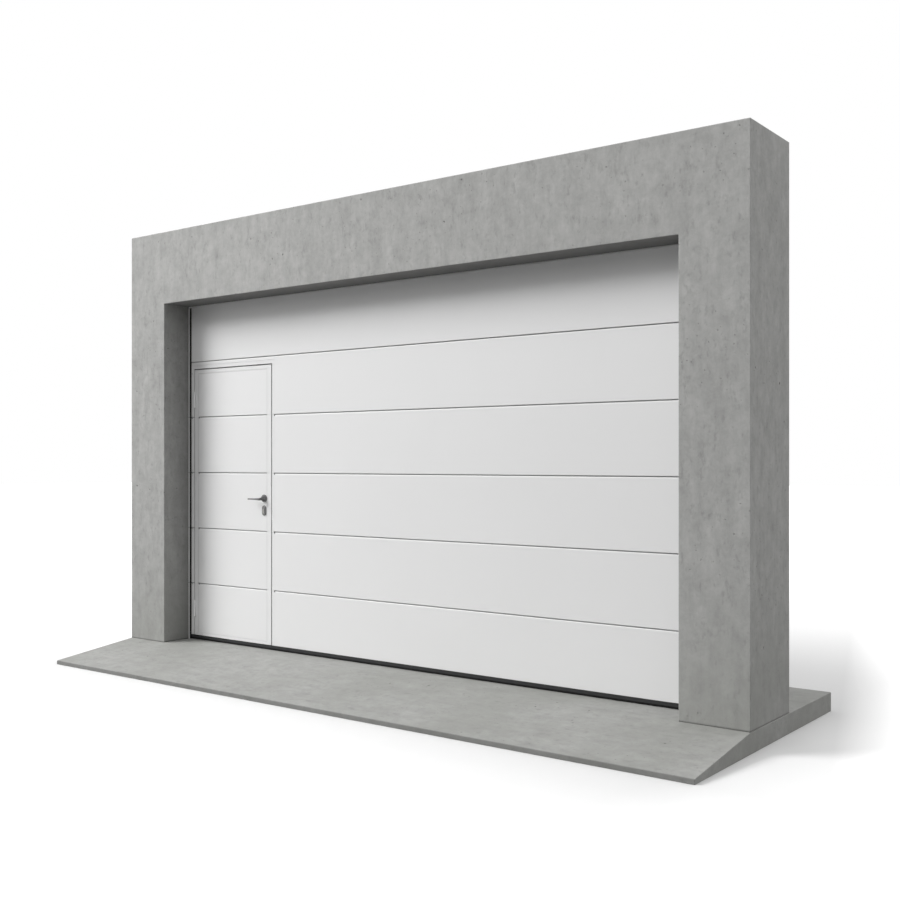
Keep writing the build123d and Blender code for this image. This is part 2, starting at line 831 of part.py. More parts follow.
def main():
    os.makedirs("parts", exist_ok=True)

    save("left_pillar", pillar())
    save("right_pillar", opposite(pillar()))
    save("lintel", lintel())
    save("ramp_slab", ramp_slab())

    save("door_frame_trim", side_trim(), opposite(side_trim()), head_trim())
    save("left_side_seal", side_seal())
    save("right_side_seal", opposite(side_seal()))
    save("top_seal", top_seal())

    for number in range(1, section_count + 1):
        save(f"section_{number}", section(number))
    save("bottom_rail", bottom_rail())
    save("bottom_seal", bottom_seal())

    save("wicket_frame_hinge_side", frame_hinge_side())
    save("wicket_frame_lock_side", frame_lock_side())
    save("wicket_frame_head", frame_head())
    save("wicket_frame_gaskets", *frame_gaskets())
    save("strike_plate", strike_plate())

    save("wicket_hinge_stile", hinge_stile())
    save("wicket_lock_stile", lock_stile())
    save("wicket_top_rail", wicket_rail(wicket_top, wicket_top - top_rail_height))
    save("wicket_bottom_rail", wicket_rail(wicket_bottom, wicket_bottom + bottom_rail_height))
    for number in range(1, section_count):
        save(f"wicket_panel_{number}", handle_panel() if number == 3 else wicket_panel(number))
    save("wicket_leaf_gasket", leaf_gasket())
    save("wicket_section_hinges", *wicket_section_hinges())

    save("hinge_frame_leaves", *[hinge_frame_leaf(z) for z in hinge_middles])
    save("hinge_door_leaves", *[hinge_door_leaf(z) for z in hinge_middles])
    save("hinge_pins", *[hinge_pin(z) for z in hinge_middles])

    save("roses", rose(leaf_face), rose(leaf_back))
    save("escutcheons", escutcheon(leaf_face), escutcheon(leaf_back))
    save("lock_cylinder", lock_cylinder())
    save("lock_forend", forend_block(wicket_right - forend_thickness))
    save("outer_lever", lever(leaf_face))
    save("inner_lever", lever(leaf_back))
    save("lever_spindle", lever_spindle())

    save("left_track", track())
    save("right_track", opposite(track()))
    save("left_angle_frame", angle_frame())
    save("right_angle_frame", opposite(angle_frame()))

    edges = [panel_bottom] + joints + [leaf_top]
    save_both("end_caps", [end_cap(low + 2, high - 2) for low, high in zip(edges, edges[1:])])
    save_both("roller_wheels", [roller_wheel(z) for z in roller_heights()])
    save_both("roller_stems", [roller_stem(z) for z in roller_heights()])
    save_both("roller_brackets", [roller_bracket(z) for z in roller_heights()])
    hinges = [section_hinge(x, z, hinge_half_width) for z in joints for x in field_hinges]
    save("section_hinges", *hinges)


main()
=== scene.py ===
"""Sectional garage door with a wicket door in a concrete portal: finishes, small parts, light and camera."""
import json
import math

import bmesh
import bpy
from mathutils import Matrix, Vector


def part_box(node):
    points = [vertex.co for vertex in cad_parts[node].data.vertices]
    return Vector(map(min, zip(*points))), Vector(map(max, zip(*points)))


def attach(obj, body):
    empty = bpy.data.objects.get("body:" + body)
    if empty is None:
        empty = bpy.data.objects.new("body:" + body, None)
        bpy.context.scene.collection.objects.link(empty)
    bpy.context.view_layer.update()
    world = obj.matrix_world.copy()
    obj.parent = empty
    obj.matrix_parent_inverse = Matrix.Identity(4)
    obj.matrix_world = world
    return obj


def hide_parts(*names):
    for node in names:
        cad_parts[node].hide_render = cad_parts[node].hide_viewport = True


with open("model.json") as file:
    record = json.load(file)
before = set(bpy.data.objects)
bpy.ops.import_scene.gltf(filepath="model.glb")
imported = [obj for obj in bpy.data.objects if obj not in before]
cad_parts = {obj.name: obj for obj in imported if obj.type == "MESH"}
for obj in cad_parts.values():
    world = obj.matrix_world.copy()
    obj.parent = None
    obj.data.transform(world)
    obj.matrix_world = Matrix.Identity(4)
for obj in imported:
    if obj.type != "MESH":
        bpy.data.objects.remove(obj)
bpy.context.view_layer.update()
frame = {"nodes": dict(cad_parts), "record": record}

# Camera of the photograph: level, turned to the left, with a small upward shift
CAMERA_PLACE = (4.560, -5.5175, 1.443)
CAMERA_TURN = math.radians(37.18)
FOCAL_LENGTH = 44.28
SENSOR_WIDTH = 36.0
CAMERA_SHIFT = 0.0132
CAMERA_REACH = 200.0

# Round soft lamps, aimed at the door: place, width and power
LAMPS = {
    "key": ((-10.8, -9.2, 11.6), 9.0, 2480),
    "front_fill": ((-1.5, -15.0, 12.0), 7.0, 250),
    "low_fill": ((-13.0, -8.0, 3.2), 6.0, 60),
    "side_fill": ((15.0, 0.3, 6.0), 6.0, 265),
    "back_fill": ((3.0, 17.0, 9.0), 6.0, 950),
}
LAMP_AIM = Vector((0, 0, 1.3))
SKY_STRENGTH = 0.53

# Floor: pale where it is seen, dull where it throws light back, and with a painted glow that fades it to
# white away from the shadow
FLOOR_SEEN = (0.85, 0.85, 0.85)
FLOOR_BOUNCE = (0.12, 0.12, 0.12)
FLOOR_SIZE = 60.0
SHADOW_LEAN = 0.29
SHADOW_END = 2.76
SHADOW_FADE = 1.05
FRONT_FADE = 0.25
REAR_FADE = 0.05

# Colours, linear
CONCRETE_DARK = (0.300, 0.300, 0.292)
CONCRETE_LIGHT = (0.500, 0.500, 0.488)
PORE_DARK = (0.140, 0.140, 0.134)
# Painted shade: the recess, the soffit, the pillars' base and the ramp's front face are darkened towards
# this
SHADE_DARK = (0.085, 0.085, 0.082)
DAMP = (0.270, 0.275, 0.255)
PANEL_WHITE = (0.82, 0.82, 0.82)
RUBBER_BLACK = (0.010, 0.010, 0.010)
RAIL_BLACK = (0.032, 0.032, 0.033)
# Painted shade in the door's grooves, gaps and joints
PAINTED_CREVICE_SHADE = (0.30, 0.30, 0.30)

# Edges of the casting and the slab
CASTING_BEVEL = 0.004
SLAB_BEVEL = 0.003
WELD_DISTANCE = 0.00005
FLAT_ANGLE = math.radians(1)
SHARP_ANGLE = math.radians(30)

# Screws on the inner side: plate thickness, and distance from the plates' sides and ends
HINGE_PLATE = 0.0025
HINGE_SCREW_INSET = (0.014, 0.021)
BRACKET_PLATE = 0.005
BRACKET_SCREW_INSET = (0.011, 0.010)

# Anchor bolts of the angle frames
ANCHOR_COUNT = 5
ANCHOR_FIRST = 0.15
ANCHOR_STEP = 0.52
ANCHOR_INSET = 0.016
ANCHOR_SEAT = 0.003
ANCHOR_WIDTH = 13.0

# Lock: screws from the plates' ends, the latch from the spindle, the dead bolt from the forend's end
LOCK_SCREW_INSET = 0.012
LATCH_RISE = 0.004
LATCH_HEIGHT = 0.024
BOLT_RISE = 0.058
BOLT_HEIGHT = 0.034
KEYWAY_HALF_WIDTH = 0.0008
KEYWAY_HALF_HEIGHT = 0.0045
KEYWAY_DEPTH = 0.0008

# Places from the frame
CASTING_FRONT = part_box("lintel")[0][1]
SLAB_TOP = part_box("ramp_slab")[1][2]
RAMP_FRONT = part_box("ramp_slab")[0][1]
LEAF_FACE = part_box("section_3")[0][1]
LEAF_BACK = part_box("section_3")[1][1]
JOINTS = [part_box(f"section_{number}")[0][2] for number in range(2, 6)]


class Finish:
    """A material's node tree, with one short call for each kind of node."""

    def __init__(self, name, colour, roughness, metallic=0.0, specular=0.5):
        self.material = bpy.data.materials.new(name)
        self.material.use_nodes = True
        self.tree = self.material.node_tree
        self.shader = self.tree.nodes["Principled BSDF"]
        self.shader.inputs["Base Color"].default_value = (*colour, 1)
        self.shader.inputs["Roughness"].default_value = roughness
        self.shader.inputs["Metallic"].default_value = metallic
        self.shader.inputs["Specular IOR Level"].default_value = specular

    def node(self, kind, settings=None, **inputs):
        """A new node with its settings and inputs."""
        made = self.tree.nodes.new(kind)
        for key, value in (settings or {}).items():
            setattr(made, key, value)
        for key, value in inputs.items():
            self.put(value, made.inputs[key.replace("_", " ")])
        return made

    def put(self, value, socket):
        """Links a socket or sets a number, vector or colour."""
        if isinstance(value, bpy.types.NodeSocket):
            self.tree.links.new(value, socket)
        elif socket.type == "RGBA" and len(value) == 3:
            socket.default_value = (*value, 1)
        else:
            socket.default_value = value

    def set(self, name, value):
        """Links a socket to one of the shader's inputs."""
        self.tree.links.new(value, self.shader.inputs[name])

    def place(self, stretch=(1, 1, 1)):
        """The point on the object in metres, stretched along each axis."""
        coordinates = self.node("ShaderNodeTexCoord")
        return self.node("ShaderNodeMapping", Vector=coordinates.outputs["Object"], Scale=stretch).outputs[0]

    def axes(self, vector):
        """The three parts of a vector."""
        return self.node("ShaderNodeSeparateXYZ", Vector=vector).outputs

    def noise(self, place, scale, detail=3.0, roughness=0.5, distortion=0.0):
        """Soft noise, around 0.5."""
        made = self.node("ShaderNodeTexNoise", Vector=place, Scale=scale, Detail=detail)
        self.put(roughness, made.inputs["Roughness"])
        self.put(distortion, made.inputs["Distortion"])
        return made.outputs[0]

    def cells(self, place, scale):
        """Distance to the nearest of scattered points."""
        return self.node("ShaderNodeTexVoronoi", Vector=place, Scale=scale).outputs["Distance"]

    def span(self, value, low, high, to_low=0.0, to_high=1.0):
        """Maps a range of a value to another range, clamped."""
        made = self.node("ShaderNodeMapRange", {"clamp": True})
        for index, item in enumerate((value, low, high, to_low, to_high)):
            self.put(item, made.inputs[index])
        return made.outputs[0]

    def math(self, operation, *values):
        """The result of a sum, product or comparison."""
        made = self.node("ShaderNodeMath", {"operation": operation})
        for index, value in enumerate(values):
            self.put(value, made.inputs[index])
        return made.outputs[0]

    def total(self, parts):
        """Sum of values times their weights."""
        result = None
        for value, weight in parts:
            term = self.math("MULTIPLY", value, weight)
            result = term if result is None else self.math("ADD", result, term)
        return result

    def mix(self, factor, first, second):
        """A colour between the first and the second."""
        made = self.node("ShaderNodeMix", {"data_type": "RGBA"})
        for index, value in ((0, factor), (6, first), (7, second)):
            self.put(value, made.inputs[index])
        return made.outputs[2]

    def bump(self, height, distance, strength=1.0, normal=None):
        """The surface's direction with a relief on it."""
        made = self.node("ShaderNodeBump", Height=height, Distance=distance, Strength=strength)
        if normal is not None:
            self.tree.links.new(normal, made.inputs["Normal"])
        return made.outputs[0]

    def rounded(self, radius):
        """The surface's direction with its edges eased."""
        return self.node("ShaderNodeBevel", {"samples": 4}, Radius=radius).outputs[0]

    def vector(self, operation, first, second, output="Vector"):
        """The result of a sum, product or dot product of vectors."""
        made = self.node("ShaderNodeVectorMath", {"operation": operation})
        self.put(first, made.inputs[0])
        self.put(second, made.inputs[1])
        return made.outputs[output]

    def edges(self, radius):
        """1 at a sharp edge, 0 away from it."""
        plain = self.node("ShaderNodeNewGeometry").outputs["Normal"]
        likeness = self.vector("DOT_PRODUCT", self.rounded(radius), plain, "Value")
        return self.span(likeness, 0.995, 0.8)

    def facing(self):
        """The three parts of the surface's direction on the object."""
        return self.axes(self.node("ShaderNodeTexCoord").outputs["Normal"])

    def wobbled(self, place, scale, amount):
        """The place moved about a little, for uneven outlines."""
        colour = self.node("ShaderNodeTexNoise", Vector=place, Scale=scale, Detail=2.0).outputs["Color"]
        return self.vector("ADD", place, self.vector("MULTIPLY", colour, (amount, amount, amount)))


def pores(finish, place):
    """Air pores in the concrete, in patches: 0 in a pore and 1 beside it."""
    place = finish.wobbled(place, 90.0, 0.012)
    patches = finish.span(finish.noise(place, 1.9, 2), 0.40, 0.60)
    large = finish.span(finish.cells(place, 9.5), 0.025, 0.075, 1.0, 0.0)
    small = finish.span(finish.cells(place, 27.0), 0.04, 0.13, 0.65, 0.0)
    in_patches = [finish.math("MULTIPLY", size, patches) for size in (large, small)]
    return finish.math("SUBTRACT", 1.0, finish.math("MAXIMUM", *in_patches))


def concrete(name, stretch, streak_share):
    """Fair-faced concrete: fine blotches, short streaks, soft clouds, pores, and pale edges that are partly
    wear and partly a painted highlight.
    """
    finish = Finish(name, CONCRETE_LIGHT, 0.85, specular=0.3)
    place = finish.place()
    blotches = finish.noise(place, 12.0, 6, 0.76, 0.3)
    streaks = finish.noise(finish.place(stretch), 15.0, 5, 0.72, 0.2)
    clouds = finish.noise(place, 1.3, 4, 0.6)
    tone = finish.total([(blotches, 0.85 - streak_share), (streaks, streak_share), (clouds, 0.15)])
    colour = finish.mix(finish.span(tone, 0.32, 0.68), CONCRETE_DARK, CONCRETE_LIGHT)
    smudge_place = finish.place(tuple(0.4 + 0.6 * part for part in stretch))
    smudges = finish.span(finish.noise(smudge_place, 34.0, 3, 0.6), 0.58, 0.70, 0.0, 0.24)
    colour = finish.mix(smudges, colour, PORE_DARK)
    # Pale edges: partly wear, partly a painted highlight where the edges catch the light
    worn_and_lit_edges = finish.math("MULTIPLY", finish.edges(0.009), 0.55)
    colour = finish.mix(worn_and_lit_edges, colour, tuple(1.25 * c for c in CONCRETE_LIGHT))
    height = finish.axes(place)[2]
    damp = finish.math("MULTIPLY", finish.span(height, 0.9, 0.12), finish.span(clouds, 0.42, 0.62, 0.2, 0.6))
    colour = finish.mix(damp, colour, DAMP)
    holes = pores(finish, place)
    colour = finish.mix(holes, PORE_DARK, colour)
    grain = finish.noise(place, 170.0, 3, 0.7)
    rough = finish.bump(finish.total([(blotches, 0.6), (grain, 0.4)]), 0.0012, 0.5)
    finish.set("Normal", finish.bump(holes, 0.004, 0.8, rough))
    return finish, place, colour


def casting_concrete(name):
    """The portal's concrete, with painted shade in the recess before the leaf, under the soffit and at the
    pillars' base.
    """
    finish, place, colour = concrete(name, (1.0, 1.0, 0.22), 0.35)
    along, depth, height = finish.axes(place)
    half_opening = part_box("door_frame_trim")[1][0]
    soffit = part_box("lintel")[0][2]
    beside = finish.math("LESS_THAN", finish.math("ABSOLUTE", along), half_opening)
    under = finish.math("LESS_THAN", height, soffit + CASTING_BEVEL)
    # Painted shade: the reveals and the soffit darken towards the leaf, and faces turned down darken more
    recess_depth_shade = finish.span(depth, CASTING_FRONT + CASTING_BEVEL, CASTING_FRONT + 0.23, 0.22, 0.54)
    soffit_shade = finish.span(finish.facing()[2], -0.5, -0.9, 0.0, 0.38)
    within = finish.math("MULTIPLY", beside, under)
    recess_shade = finish.math("MULTIPLY", within, finish.math("ADD", recess_depth_shade, soffit_shade))
    front = finish.math("GREATER_THAN", depth, CASTING_FRONT + 0.5 * CASTING_BEVEL)
    colour = finish.mix(finish.math("MULTIPLY", recess_shade, front), colour, SHADE_DARK)
    # Painted shade: a thin dark band where the pillars meet the slab
    foot_shade = finish.span(height, SLAB_TOP + 0.012, SLAB_TOP + 0.002, 0.0, 0.65)
    finish.set("Base Color", finish.mix(foot_shade, colour, SHADE_DARK))
    return finish.material


def slab_concrete(name):
    """The slab's trowelled concrete, with painted shade on the front face of its ramp."""
    finish, place, colour = concrete(name, (0.3, 1.0, 1.0), 0.35)
    depth = finish.axes(place)[1]
    # Painted shade: the ramp's front face is darkened
    lip_shade = finish.span(depth, RAMP_FRONT + 2 * SLAB_BEVEL, RAMP_FRONT + SLAB_BEVEL, 0.0, 0.3)
    finish.set("Base Color", finish.mix(lip_shade, colour, SHADE_DARK))
    return finish.material


def line(finish, value, middle, width, strength):
    """A soft line where a value passes its middle."""
    away = finish.math("ABSOLUTE", finish.math("SUBTRACT", value, middle))
    return finish.span(away, width, 0.3 * width, 0.0, strength)


def wicket_seam_shade(finish, place):
    """Painted shade lines where the wicket door's panels meet its frame."""
    along, _, height = finish.axes(place)
    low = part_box("wicket_panel_1")[0]
    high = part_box("wicket_panel_5")[1]
    hinge_seam_shade = line(finish, along, low[0], 0.006, 0.35)
    lock_seam_shade = line(finish, along, high[0], 0.004, 0.2)
    upright = finish.math("MAXIMUM", hinge_seam_shade, lock_seam_shade)
    seam_shades = finish.math("MAXIMUM", upright, line(finish, height, high[2], 0.008, 0.35))
    within = finish.math("LESS_THAN", along, high[0] + 0.01)
    below = finish.math("LESS_THAN", height, high[2] + 0.01)
    return finish.math("MULTIPLY", seam_shades, finish.math("MULTIPLY", within, below))


def frame_joint_shade(finish, place):
    """Painted shade lines in the joints of the wicket frame's hinge side, at the section joints."""
    along, _, height = finish.axes(place)
    joint_shades = None
    for joint in JOINTS:
        joint_shade = line(finish, height, joint, 0.006, 0.7)
        joint_shades = joint_shade if joint_shades is None else finish.math("MAXIMUM", joint_shades, joint_shade)
    beside = finish.math("LESS_THAN", along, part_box("wicket_hinge_stile")[0][0])
    return finish.math("MULTIPLY", joint_shades, beside)


def paint(name, roughness, embossed):
    """White coating, slightly wavy, with painted shade in its grooves, gaps and joints; the panels' inner
    side is like stucco.
    """
    finish = Finish(name, PANEL_WHITE, roughness)
    place = finish.place()
    tone = finish.span(finish.noise(place, 1.3, 2, 0.5), 0.3, 0.7)
    colour = finish.mix(tone, tuple(0.985 * c for c in PANEL_WHITE), PANEL_WHITE)
    depth = finish.axes(place)[1]
    # Painted shade: faces set back from the leaf's face, in the grooves and gaps, are greyed
    inward = finish.span(depth, LEAF_FACE + 0.0012, LEAF_FACE + 0.0040)
    reach = 0.030 if embossed else 0.010
    ending = finish.span(depth, LEAF_FACE + 1.25 * reach, LEAF_FACE + reach)
    groove_shade = finish.math("MULTIPLY", finish.math("MULTIPLY", inward, ending), 0.55 if embossed else 0.75)
    seam_and_joint_shade = wicket_seam_shade(finish, place) if embossed else frame_joint_shade(finish, place)
    finish.set("Base Color", finish.mix(finish.math("MAXIMUM", groove_shade, seam_and_joint_shade), colour, PAINTED_CREVICE_SHADE))
    waves = finish.noise(place, 3.0, 2, 0.5)
    peel = finish.noise(place, 420.0, 2, 0.5)
    waviness = finish.total([(waves, 1.0), (peel, 0.02)])
    surface = finish.bump(waviness, 0.0010, 0.5, finish.rounded(0.004 if embossed else 0.002))
    if embossed:
        inner = finish.span(finish.facing()[1], 0.5, 0.9)
        stucco = finish.math("MULTIPLY", finish.noise(place, 160.0, 1, 0.4, 1.2), inner)
        surface = finish.bump(stucco, 0.0014, 0.7, surface)
    finish.set("Normal", surface)
    return finish.material


def rubber(name, colour, roughness):
    """Matt black of the seals and the bottom rail."""
    finish = Finish(name, colour, roughness, specular=0.25)
    grain = finish.noise(finish.place(), 300.0, 2, 0.6)
    finish.set("Roughness", finish.span(grain, 0.3, 0.7, roughness - 0.08, roughness + 0.08))
    return finish.material


def metal(name, colour, roughness, brushed):
    """Bare or plated metal with a fine directional grain."""
    finish = Finish(name, colour, roughness, 1.0)
    grain = finish.noise(finish.place(brushed), 25.0, 3, 0.7)
    finish.set("Roughness", finish.span(grain, 0.25, 0.75, roughness - 0.06, roughness + 0.1))
    finish.set("Normal", finish.bump(grain, 0.0002, 0.4, finish.rounded(0.0006)))
    return finish.material


def galvanised(name):
    """Zinc coating with its pale flakes."""
    finish = Finish(name, (0.34, 0.345, 0.35), 0.45, 0.85)
    flakes = finish.node("ShaderNodeTexVoronoi", Vector=finish.place(), Scale=70.0).outputs["Color"]
    value = finish.node("ShaderNodeRGBToBW", Color=flakes).outputs[0]
    finish.set("Base Color", finish.mix(value, (0.26, 0.265, 0.27), (0.42, 0.425, 0.43)))
    finish.set("Roughness", finish.span(value, 0.0, 1.0, 0.38, 0.58))
    finish.set("Normal", finish.rounded(0.0008))
    return finish.material


def nylon(name):
    """Natural nylon of the roller wheels."""
    finish = Finish(name, (0.7, 0.7, 0.66), 0.5)
    grain = finish.noise(finish.place(), 90.0, 2, 0.5)
    finish.set("Roughness", finish.span(grain, 0.3, 0.7, 0.42, 0.6))
    return finish.material


def finishes():
    """One material for each of the record's slots."""
    upright_grain = (1, 1, 60)
    return {
        "concrete": casting_concrete("concrete"),
        "slab_concrete": slab_concrete("slab_concrete"),
        "panel_paint": paint("panel_paint", 0.42, True),
        "profile_paint": paint("profile_paint", 0.36, False),
        "rubber": rubber("rubber", RUBBER_BLACK, 0.62),
        "black_rail": rubber("black_rail", RAIL_BLACK, 0.5),
        "galvanised": galvanised("galvanised"),
        "bare_steel": metal("bare_steel", (0.45, 0.45, 0.46), 0.3, (60, 1, 1)),
        "stainless": metal("stainless", (0.14, 0.14, 0.14), 0.44, upright_grain),
        "nickel": metal("nickel", (0.26, 0.255, 0.245), 0.34, upright_grain),
        "nylon": nylon("nylon"),
    }


def dress_nodes(materials):
    """Every CAD node gets the material of its slot."""
    for entry in frame["record"]["subparts"]:
        node = frame["nodes"][entry["node"]]
        node.data.materials.clear()
        node.data.materials.append(materials[entry["material_slot"]])


def cleaned(mesh):
    """Welds a mesh and joins its flat faces."""
    shape = bmesh.new()
    shape.from_mesh(mesh)
    bmesh.ops.remove_doubles(shape, verts=shape.verts, dist=WELD_DISTANCE)
    bmesh.ops.dissolve_limit(
        shape, angle_limit=FLAT_ANGLE, verts=shape.verts, edges=shape.edges
    )
    shape.to_mesh(mesh)
    shape.free()


def bevel(thing, width):
    """Eases the sharp edges."""
    made = thing.modifiers.new("eased_edges", "BEVEL")
    made.width = width
    made.segments = 2
    made.limit_method = "ANGLE"
    made.angle_limit = SHARP_ANGLE


def finished(thing, name, body, slot, material, *nodes):
    """Gives a piece its name, material and body, and the CAD nodes that it stands for."""
    thing.name = name
    thing.data.materials.clear()
    thing.data.materials.append(material)
    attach(thing, body)
    if nodes:
        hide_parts(*nodes)


def linked(thing):
    """Puts an object into the scene."""
    bpy.context.scene.collection.objects.link(thing)


def copied(name):
    """A new object with a cleaned copy of a CAD node's mesh."""
    piece = bpy.data.objects.new("copy_of_" + name, frame["nodes"][name].data.copy())
    linked(piece)
    cleaned(piece.data)
    return piece


def casting(material):
    """The portal as the one casting that it is, joined from the pillars and the lintel, with eased edges."""
    parts = ("lintel", "left_pillar", "right_pillar")
    whole, *others = [copied(name) for name in parts]
    for piece in others:
        union = whole.modifiers.new("union", "BOOLEAN")
        union.operation = "UNION"
        union.solver = "EXACT"
        union.object = piece
    graph = bpy.context.evaluated_depsgraph_get()
    whole.data = bpy.data.meshes.new_from_object(whole.evaluated_get(graph))
    whole.modifiers.clear()
    for piece in others:
        bpy.data.objects.remove(piece)
    cleaned(whole.data)
    bevel(whole, CASTING_BEVEL)
    finished(whole, "portal_casting", "portal", "concrete", material, *parts)


def slab(material):
    """The base slab with eased edges."""
    piece = copied("ramp_slab")
    bevel(piece, SLAB_BEVEL)
    finished(piece, "base_slab", "portal", "slab_concrete", material, "ramp_slab")


def aimed(place, direction):
    """Puts a form's +Z along a direction at a place."""
    turn = Vector(direction).to_track_quat("Z", "Y")
    return Matrix.Translation(place) @ turn.to_matrix().to_4x4()


def lathe(shape, matrix, profile, sides):
    """Adds a turned form: pairs of radius and height in mm, from the base to the tip."""
    rings = []
    for radius, height in profile:
        ring = []
        for index in range(sides if radius else 1):
            angle = math.tau * index / sides
            point = Vector((radius * math.cos(angle), radius * math.sin(angle), height)) / 1000
            ring.append(shape.verts.new(matrix @ point))
        rings.append(ring)
    for lower, upper in zip(rings, rings[1:]):
        for index in range(sides):
            after = index + 1
            below = [lower[step % len(lower)] for step in (index, after)]
            above = [upper[step % len(upper)] for step in (after, index)]
            shape.faces.new(dict.fromkeys(below + above))


def hex_screw(shape, place, direction, width=8.0):
    """Hexagon head on its washer: width across the flats in mm."""
    matrix = aimed(place, direction)
    corner = width / math.sqrt(3)
    rim = 0.85 * width
    lathe(shape, matrix, [(rim, 0), (rim, 0.7), (rim - 0.5, 1.2), (0, 1.2)], 28)
    head = 1.2 + 0.6 * width
    lathe(shape, matrix, [(corner, 1.1), (corner, head - 0.5), (corner - 0.7, head), (0, head)], 6)


def flat_screw(shape, place, direction):
    """Countersunk head with a hexagon socket."""
    matrix = aimed(place, direction)
    lathe(shape, matrix, [(4.4, 0), (4.2, 0.35), (2.4, 0.45), (2.2, 0.45)], 28)
    lathe(shape, matrix, [(2.2, 0.45), (1.9, 0.05), (0, 0.05)], 28)


def plug(shape, place, direction):
    """Round end of the lock's plug."""
    lathe(shape, aimed(place, direction), [(7.0, 0), (7.0, 0.3), (6.7, 0.6), (0, 0.6)], 40)


def block(shape, low, high):
    """Adds a closed box between two corners, in metres."""
    made = bmesh.ops.create_cube(shape, size=1.0)["verts"]
    middle = (Vector(low) + Vector(high)) / 2
    size = Vector(high) - Vector(low)
    for point in made:
        point.co = Vector(part * length for part, length in zip(point.co, size)) + middle


def added(name, body, slot, material, shape, ease=0.0):
    """Turns a shape into a piece of the scene."""
    bmesh.ops.recalc_face_normals(shape, faces=shape.faces)
    mesh = bpy.data.meshes.new(name)
    shape.to_mesh(mesh)
    shape.free()
    thing = bpy.data.objects.new(name, mesh)
    linked(thing)
    if ease:
        bevel(thing, ease)
    finished(thing, name, body, slot, material)


def loose_boxes(name):
    """Lowest and highest corners of each loose piece of a CAD node, sorted for the same order each run."""
    shape = bmesh.new()
    shape.from_mesh(frame["nodes"][name].data)
    bmesh.ops.remove_doubles(shape, verts=shape.verts, dist=WELD_DISTANCE)
    left = set(shape.verts)
    boxes = []
    while left:
        island = [left.pop()]
        for point in island:
            for edge in point.link_edges:
                other = edge.other_vert(point)
                if other in left:
                    left.remove(other)
                    island.append(other)
        spans = [[point.co[axis] for point in island] for axis in range(3)]
        boxes.append(([min(span) for span in spans], [max(span) for span in spans]))
    shape.free()
    return sorted(boxes)


def plate_screws(name, face, inset):
    """Screw places on the rear of a node's plates, by their corners, or in one row on narrow plates."""
    inset_x, inset_z = inset
    places = []
    for low, high in loose_boxes(name):
        columns = {low[0] + inset_x, high[0] - inset_x}
        if high[0] - low[0] < 3 * inset_x:
            columns = {(low[0] + high[0]) / 2}
        for x in sorted(columns):
            places += [(x, face, low[2] + inset_z), (x, face, high[2] - inset_z)]
    return places


def screwed(name, body, material, places):
    """One piece of hexagon screws on the inner side."""
    shape = bmesh.new()
    for place in places:
        hex_screw(shape, place, (0, 1, 0))
    added(name, body, "galvanised", material, shape)


def rear_screws(material):
    """Hexagon screws of the hinges and roller brackets on the inner side."""
    hinge_face = LEAF_BACK + HINGE_PLATE
    hinges = plate_screws("section_hinges", hinge_face, HINGE_SCREW_INSET)
    brackets = plate_screws("roller_brackets", LEAF_BACK + BRACKET_PLATE, BRACKET_SCREW_INSET)
    screwed("portal_screws", "portal", material, hinges + brackets)
    leaf_hinges = plate_screws("wicket_section_hinges", hinge_face, HINGE_SCREW_INSET)
    screwed("leaf_screws", "wicket_leaf", material, leaf_hinges)


def anchors(material):
    """Anchor bolts that hold the angle frames to the pillars."""
    low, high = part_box("left_angle_frame")
    x = high[0] - ANCHOR_INSET
    shape = bmesh.new()
    for step in range(ANCHOR_COUNT):
        height = SLAB_TOP + ANCHOR_FIRST + ANCHOR_STEP * step
        for side in (x, -x):
            hex_screw(shape, (side, low[1] + ANCHOR_SEAT, height), (0, 1, 0), ANCHOR_WIDTH)
    added("anchor_bolts", "portal", "galvanised", material, shape)


def lock_details(materials):
    """Screws, latch and dead bolt in the leaf's edge, and screws of the strike plate."""
    low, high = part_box("lock_forend")
    middle = (low[1] + high[1]) / 2
    latch_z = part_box("lever_spindle")[0][2] + LATCH_RISE
    shape = bmesh.new()
    for z in (low[2] + LOCK_SCREW_INSET, high[2] - LOCK_SCREW_INSET):
        flat_screw(shape, (high[0], middle, z), (1, 0, 0))
    for z, tall in ((latch_z, LATCH_HEIGHT), (low[2] + BOLT_RISE, BOLT_HEIGHT)):
        near = (high[0] - 0.001, middle - 0.004, z - tall / 2)
        far = (high[0] + 0.0012, middle + 0.007, z + tall / 2)
        block(shape, near, far)
    added("latch_and_bolt", "wicket_leaf", "stainless", materials["stainless"], shape, 0.0003)
    low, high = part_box("strike_plate")
    shape = bmesh.new()
    for z in (low[2] + LOCK_SCREW_INSET, high[2] - LOCK_SCREW_INSET):
        flat_screw(shape, (low[0], middle, z), (-1, 0, 0))
    added("strike_screws", "portal", "stainless", materials["stainless"], shape)


def cylinder_details(materials):
    """The round ends of the lock's plug, with thin black blocks as painted shade for their key slots."""
    low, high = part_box("lock_cylinder")
    axis_x = (low[0] + high[0]) / 2
    axis_z = high[2] - (high[0] - low[0]) / 2
    plugs = bmesh.new()
    # Painted shade: a thin black block on each plug end stands for its key slot's dark depth
    keyway_shades = bmesh.new()
    for y, out in ((low[1], -1), (high[1], 1)):
        plug(plugs, (axis_x, y, axis_z), (0, out, 0))
        near, far = sorted((y, y + KEYWAY_DEPTH * out))
        lower = (axis_x - KEYWAY_HALF_WIDTH, near, axis_z - KEYWAY_HALF_HEIGHT)
        upper = (axis_x + KEYWAY_HALF_WIDTH, far, axis_z + KEYWAY_HALF_HEIGHT)
        block(keyway_shades, lower, upper)
    added("lock_plugs", "wicket_leaf", "nickel", materials["nickel"], plugs)
    added("keyway_shades", "wicket_leaf", "rubber", materials["rubber"], keyway_shades, 0.0002)


